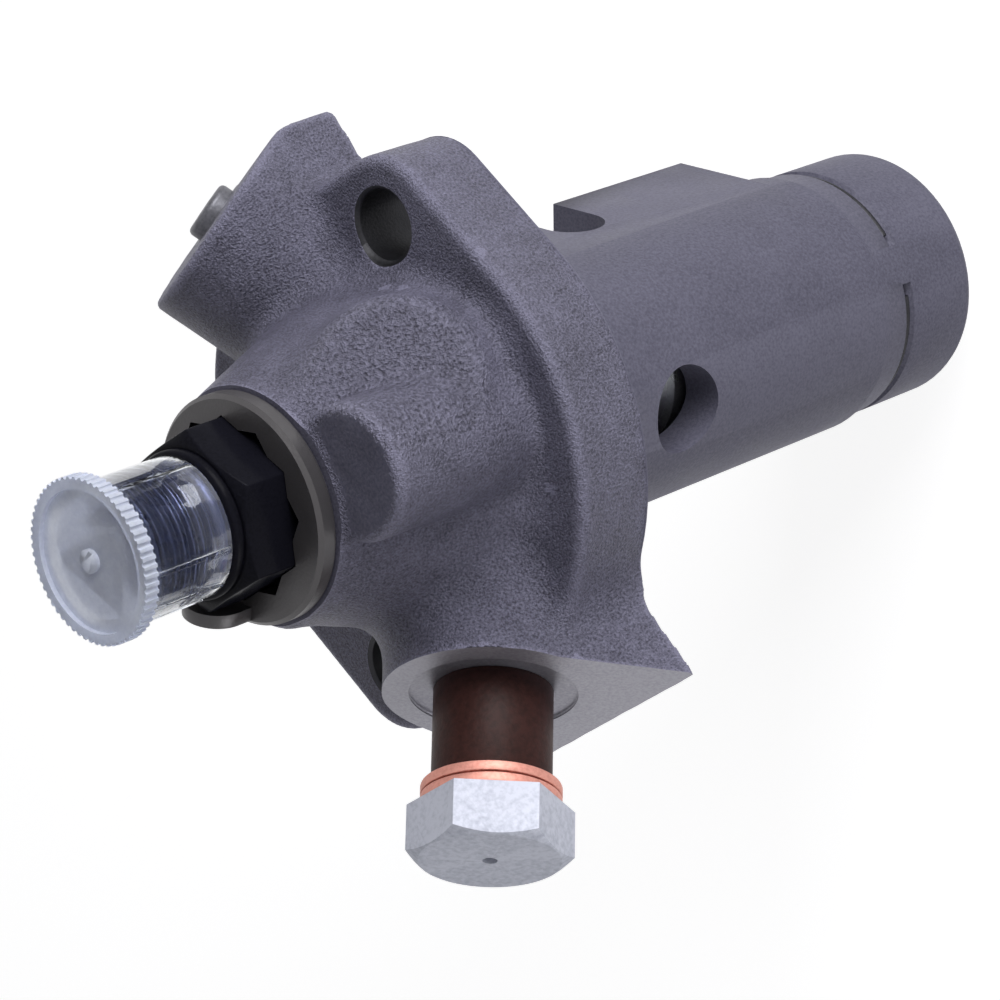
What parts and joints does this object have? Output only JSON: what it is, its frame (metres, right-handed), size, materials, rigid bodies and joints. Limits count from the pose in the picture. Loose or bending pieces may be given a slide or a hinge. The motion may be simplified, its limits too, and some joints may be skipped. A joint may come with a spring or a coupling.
{
  "type": "diesel injection pump",
  "caption": "Flange-mounted unit injection pump with roller tappet, control arm, inclined fuel inlet and threaded delivery union.",
  "frame": {"origin": "on the pump's axis, in the flange's mounting face", "axes": "+Z along the pump's axis towards the delivery union, -Y on the side of the fuel inlet"},
  "size_m": [0.063, 0.0942, 0.1447],
  "materials": {
    "cast_iron_blasted": "bead-blasted casting, fine grain, dull grey-blue",
    "ground_steel": "ground and hardened",
    "spring_steel": "oiled wire",
    "dark_steel": "phosphated",
    "bronze": "plain bearing bronze",
    "copper": "soft annealed copper",
    "black_oxide": "black oxide, oiled, glossy",
    "satin_steel": "satin turned steel",
    "clear_plastic": "clear skirt and frosted disc, moulded polyethylene",
    "brown_plastic": "dark brown moulded plastic",
    "zinc_plate": "bright zinc plate"
  },
  "bodies": {
    "pump": {"pump_housing": "cast_iron_blasted", "barrel": "ground_steel", "upper_spring_seat": "ground_steel", "plunger_spring": "spring_steel", "guide_pin": "ground_steel", "retaining_clip": "spring_steel", "delivery_valve_body": "ground_steel", "valve_spring": "spring_steel", "valve_seal": "copper", "valve_holder": "black_oxide", "lock_ring": "satin_steel", "transit_cap": "clear_plastic", "transit_sleeve": "brown_plastic", "banjo_washers": "copper", "banjo_bolt": "zinc_plate", "plug_washer": "copper", "gallery_plug": "zinc_plate"},
    "tappet": {"tappet_body": "dark_steel", "roller_pin": "ground_steel", "lower_spring_seat": "ground_steel"},
    "bush": {"roller_bush": "bronze"},
    "roller": {"tappet_roller": "ground_steel"},
    "plunger": {"plunger": "ground_steel"},
    "control": {"control_sleeve": "ground_steel", "control_arm": "ground_steel"},
    "valve": {"delivery_valve": "ground_steel"}
  },
  "joints": [
    {"name": "tappet_slide", "type": "slide", "parent": "pump", "child": "tappet", "axis": [0, 0, 1], "range_m": [0, 0.008], "stiffness_N_per_m": 1000, "springref_m": -0.004, "deforming": ["plunger_spring"]},
    {"name": "bush_spin", "type": "hinge", "parent": "tappet", "child": "bush", "pos_m": [0, 0, -0.0795], "axis": [0, 1, 0], "continuous": true},
    {"name": "roller_spin", "type": "hinge", "parent": "tappet", "child": "roller", "pos_m": [0, 0, -0.0795], "axis": [0, 1, 0], "continuous": true},
    {"name": "control_turn", "type": "hinge", "parent": "pump", "child": "control", "pos_m": [0, 0, -0.03], "axis": [0, 0, 1], "range_deg": [-18, 18]},
    {"name": "plunger_turn", "type": "hinge", "parent": "tappet", "child": "plunger", "pos_m": [0, 0, -0.03], "axis": [0, 0, 1], "range_deg": [-18, 18]},
    {"name": "valve_lift", "type": "slide", "parent": "pump", "child": "valve", "axis": [0, 0, 1], "range_m": [0, 0.002], "stiffness_N_per_m": 400, "springref_m": -0.002, "deforming": ["valve_spring"]}
  ],
  "couplings": [
    {"joint": "plunger_turn", "follows": "control_turn", "ratio": 1}
  ]
}
